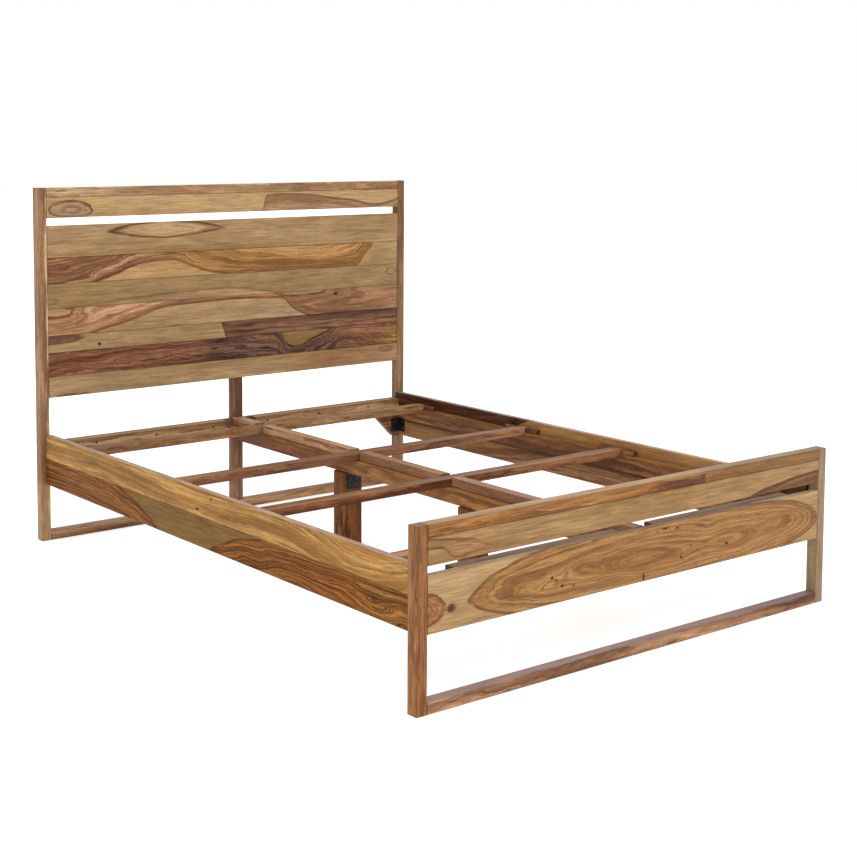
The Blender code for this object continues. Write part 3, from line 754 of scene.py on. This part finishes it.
# painted light: the strips' upward faces are blended towards a paler tone
for k in range(1, 6):
    name = f"beam_strip_{k}"
    timber(name, "y", wood(name, "y", "+z", dict(seed=30.0 + k, tone="russet", sap="dim", base=-0.008, slope=0.5,
                                                 warp=0.016, pitch=110, top=0.16, painted_top_tone=(0.64, 0.45, 0.25))),
           0.002, 0.001)
timber("centre_beam", "y", wood("centre_beam", "y", "-x", dict(seed=36.0, tone="russet", sap="dim", base=-0.006, turns=[(0.22, 0.36, "dim", "ruddy")],
                                                               slope=0.4, warp=0.016)), 0.002, 0.001)
for k in (1, 2):
    name = f"centre_leg_{k}"
    timber(name, "z", wood(name, "z", "-y", dict(seed=37.0 + k, tone="brown", gloss=0.05, sap="dim", base=-0.02, slope=0.5,
                                                 warp=0.018)), 0.0025, 0.0012)
timber("headboard_centre_post", "z", wood("headboard_centre_post", "z", "-y", dict(
    seed=40.0, tone="brown", sap="dim", base=-0.012, slope=0.5, warp=0.014)), 0.002, 0.001)
for side, s in (("left", 0), ("right", 1)):
    for name, seed, tone in ((f"headboard_lower_rail_{side}", 41.0, "red"),
                             (f"headboard_ledger_{side}", 43.0, "russet"),
                             (f"footboard_ledger_{side}", 45.0, "brown")):
        timber(name, "x", wood(name, "x", "-y", dict(seed=seed + s, tone=tone, sap="dim", base=-0.010, slope=0.5,
                                                     warp=0.014)), 0.0015, 0.0008)
    for k in range(1, 6):
        name = f"slat_block_{side}_{k}"
        timber(name, "y", wood(name, "y", "+z", dict(seed=50.0 + 5 * s + k, tone="brown", sap="dim", base=-0.01,
                                                     slope=0.5, warp=0.012)), 0.0015, 0.0010)
    for name, seed, grain in ((f"side_ledger_{side}", 61.0, "y"), (f"headboard_corner_block_{side}", 63.0, "x")):
        mat = wood(name, grain, "-y" if grain == "x" else "-x", dict(
            seed=seed + s, tone="brown", sap="dim", base=-0.012, slope=0.5, warp=0.014))
        NODES[name].data.materials.clear()
        NODES[name].data.materials.append(mat)
        ease(NODES[name], 0.0012)


# ------------------------------------------------------------------ steel
def steel():
    """Black coated steel, a little mottled and rubbed."""
    mat = bpy.data.materials.new("black_coated_steel")
    mat.use_nodes = True
    shader = mat.node_tree.nodes["Principled BSDF"]
    g = Graph(mat.node_tree)
    place = g.add("ShaderNodeTexCoord").outputs["Object"]
    cloud = g.noise(place, 55.0, 4.0, 0.6)
    grit = g.noise(place, 900.0, 2.0, 0.6)
    g.put(shader.inputs["Base Color"], g.mix(g.remap(cloud, 0.35, 0.70), rgb(26, 25, 25), rgb(52, 49, 47)))
    g.put(shader.inputs["Roughness"], g.remap(cloud, 0.3, 0.7, 0.36, 0.56, smooth=False))
    shader.inputs["Metallic"].default_value = 0.75
    bump = g.add("ShaderNodeBump")
    bump.inputs["Strength"].default_value = 0.25
    bump.inputs["Distance"].default_value = 0.0003
    g.put(bump.inputs["Height"], grit)
    g.put(shader.inputs["Normal"], bump.outputs[0])
    return mat


STEEL = steel()
for name, obj in NODES.items():
    if "bracket" in name:
        obj.data.materials.clear()
        obj.data.materials.append(STEEL)
        ease(obj, 0.0009)


def screw_metal(name, dull, bright, metallic, rough):
    """Plated screws, mottled in tone and roughness, with a fine bump."""
    mat = bpy.data.materials.new(name)
    mat.use_nodes = True
    shader = mat.node_tree.nodes["Principled BSDF"]
    g = Graph(mat.node_tree)
    place = g.add("ShaderNodeTexCoord").outputs["Object"]
    cloud = g.noise(place, 320.0, 3.0, 0.6)
    g.put(shader.inputs["Base Color"], g.mix(g.remap(cloud, 0.35, 0.65), dull, bright))
    g.put(shader.inputs["Roughness"], g.remap(cloud, 0.3, 0.7, rough - 0.08, rough + 0.10, smooth=False))
    shader.inputs["Metallic"].default_value = metallic
    bump = g.add("ShaderNodeBump")
    bump.inputs["Strength"].default_value = 0.2
    bump.inputs["Distance"].default_value = 0.0002
    g.put(bump.inputs["Height"], g.noise(place, 2400.0, 2.0, 0.5))
    g.put(shader.inputs["Normal"], bump.outputs[0])
    return mat


def screws(name, items, mat):
    """Domed cross-head screws as one piece: each is its place, the way its head looks, and its radius."""
    rings = (0.14, 0.22, 0.34, 0.46, 0.58, 0.66, 0.78, 0.90, 0.97, 1.0)
    around = 32
    bm = bmesh.new()
    for index, (place, looks, radius) in enumerate(items):
        turn = Vector(looks).to_track_quat("Z", "Y").to_matrix().to_4x4()
        turn = Matrix.Translation(place) @ turn @ Matrix.Rotation(0.4 + 1.9 * index, 4, "Z")

        def at(x, y):
            r = math.hypot(x, y)
            z = 0.26 * math.sqrt(max(0.0, 1.0 - 0.96 * r * r))
            slot = min(abs(x), abs(y)) < 0.15 and max(abs(x), abs(y)) < 0.60
            return turn @ Vector((x * radius, y * radius, (z - (0.20 if slot else 0.0)) * radius))

        centre = bm.verts.new(at(0.0, 0.0))
        rows = [[bm.verts.new(at(r * math.cos(2 * math.pi * k / around), r * math.sin(2 * math.pi * k / around)))
                 for k in range(around)] for r in rings]
        rows.append([bm.verts.new(turn @ Vector((radius * math.cos(2 * math.pi * k / around),
                                                 radius * math.sin(2 * math.pi * k / around), -0.0002)))
                     for k in range(around)])
        for k in range(around):
            j = (k + 1) % around
            bm.faces.new((centre, rows[0][k], rows[0][j]))
            for inner, outer in zip(rows, rows[1:]):
                bm.faces.new((inner[k], outer[k], outer[j], inner[j]))
        bm.faces.new(list(reversed(rows[-1])))
    mesh = bpy.data.meshes.new(name)
    bm.to_mesh(mesh)
    bm.free()
    mesh.materials.append(mat)
    for poly in mesh.polygons:
        poly.use_smooth = len(poly.vertices) < 5
    mesh.set_sharp_from_angle(angle=math.radians(35.0))
    obj = bpy.data.objects.new(name, mesh)
    bpy.context.scene.collection.objects.link(obj)
    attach(obj, "frame")
    return obj


BLACK_SCREW = screw_metal("black_screw", rgb(30, 28, 27), rgb(66, 61, 58), 0.8, 0.42)
PAINTED_SCREW = screw_metal("painted_screw", rgb(36, 34, 33), rgb(92, 88, 84), 0.9, 0.34)
ledger_screws, bracket_screws, block_screws = [], [], []
for side, way in (("left", 1.0), ("right", -1.0)):
    lo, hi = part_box(f"headboard_ledger_{side}")
    for x in (0.12, 0.36, 0.60):
        ledger_screws.append(((-way * x, lo[1], (lo[2] + hi[2]) / 2), (0, -1, 0), 0.0042))
    lo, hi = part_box(f"footboard_ledger_{side}")
    for x in (0.12, 0.36, 0.60):
        ledger_screws.append(((-way * x, hi[1], (lo[2] + hi[2]) / 2), (0, 1, 0), 0.0042))
    lo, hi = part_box(f"side_ledger_{side}")
    inner = hi[0] if side == "left" else lo[0]
    for y in (-0.92, -0.70, -0.45, -0.05, 0.10, 0.45, 0.65, 0.92):
        ledger_screws.append(((inner, y, 0.297 + 0.006 * math.sin(9.0 * y)), (way, 0, 0), 0.0042))
    for k in range(1, 6):
        lo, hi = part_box(f"slat_block_{side}_{k}")
        block_screws.append((((lo[0] + hi[0]) / 2, (lo[1] + hi[1]) / 2, hi[2]), (0, 0, 1), 0.0032))
    for end_name, toward in (("head", 1.0), ("foot", -1.0)):
        lo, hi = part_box(f"corner_bracket_{end_name}_{side}")
        plate = lo[0] + 0.003 if side == "left" else hi[0] - 0.003          # the leg on the rail
        wall = hi[1] - 0.003 if end_name == "head" else lo[1] + 0.003       # the leg on the end frame
        free = hi[0] if side == "left" else lo[0]
        mouth = lo[1] if end_name == "head" else hi[1]
        for z in (0.232, 0.258):
            bracket_screws.append(((plate, mouth + toward * 0.013, z), (way, 0, 0), 0.0046))
            bracket_screws.append(((free - way * 0.013, wall, z), (0, -toward, 0), 0.0046))
for k in (1, 2):
    lo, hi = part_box(f"leg_bracket_{k}")
    for x in (-0.014, 0.014):
        bracket_screws.append(((x, hi[1] - 0.003, lo[2] + 0.013), (0, -1, 0), 0.0046))
        bracket_screws.append(((x, hi[1] - 0.003, lo[2] + 0.036), (0, -1, 0), 0.0046))
        bracket_screws.append(((x, lo[1] + 0.011, hi[2] - 0.003), (0, 0, -1), 0.0046))
screws("ledger_screws", ledger_screws, BLACK_SCREW)
screws("block_screws", block_screws, BLACK_SCREW)
screws("bracket_screws", bracket_screws, PAINTED_SCREW)

# ------------------------------------------------------------------ floor, light
floor_mesh = bpy.data.meshes.new("floor")
S = 30.0
floor_mesh.from_pydata([(-S, -S, -0.0006), (S, -S, -0.0006), (S, S, -0.0006), (-S, S, -0.0006)], [], [(0, 1, 2, 3)])
floor = bpy.data.objects.new("floor", floor_mesh)
bpy.context.scene.collection.objects.link(floor)
floor_mat = bpy.data.materials.new("pale_floor")
floor_mat.use_nodes = True
fs = floor_mat.node_tree.nodes["Principled BSDF"]
fs.inputs["Base Color"].default_value = (0.90, 0.90, 0.90, 1.0)
fs.inputs["Roughness"].default_value = 0.9
fs.inputs["Specular IOR Level"].default_value = 0.1
fs.inputs["Emission Color"].default_value = (1.0, 1.0, 1.0, 1.0)
fs.inputs["Emission Strength"].default_value = 0.29
floor_mesh.materials.append(floor_mat)

world = bpy.data.worlds.new("studio")
bpy.context.scene.world = world
world.use_nodes = True
world.node_tree.nodes["Background"].inputs["Color"].default_value = (1.0, 1.0, 1.0, 1.0)
world.node_tree.nodes["Background"].inputs["Strength"].default_value = 1.0


def lamp(name, place, target, size, power):
    data = bpy.data.lights.new(name, "AREA")
    data.shape = "RECTANGLE"
    data.size, data.size_y = size
    data.energy = power
    obj = bpy.data.objects.new(name, data)
    bpy.context.scene.collection.objects.link(obj)
    obj.location = place
    obj.rotation_euler = (Vector(target) - Vector(place)).to_track_quat("-Z", "Y").to_euler()
    return obj


lamp("softbox_front", (-2.6, -4.6, 3.4), (0.0, 0.0, 0.5), (2.6, 2.0), 25.0)
sun = bpy.data.objects.new("overhead", bpy.data.lights.new("overhead", "SUN"))
bpy.context.scene.collection.objects.link(sun)
sun.data.energy = 1.1
sun.data.angle = math.radians(60.0)
sun.rotation_euler = (Vector((0.35, 0.45, -1.0))).to_track_quat("-Z", "Y").to_euler()

view = bpy.context.scene.view_settings
view.view_transform = "Standard"
view.look = "None"
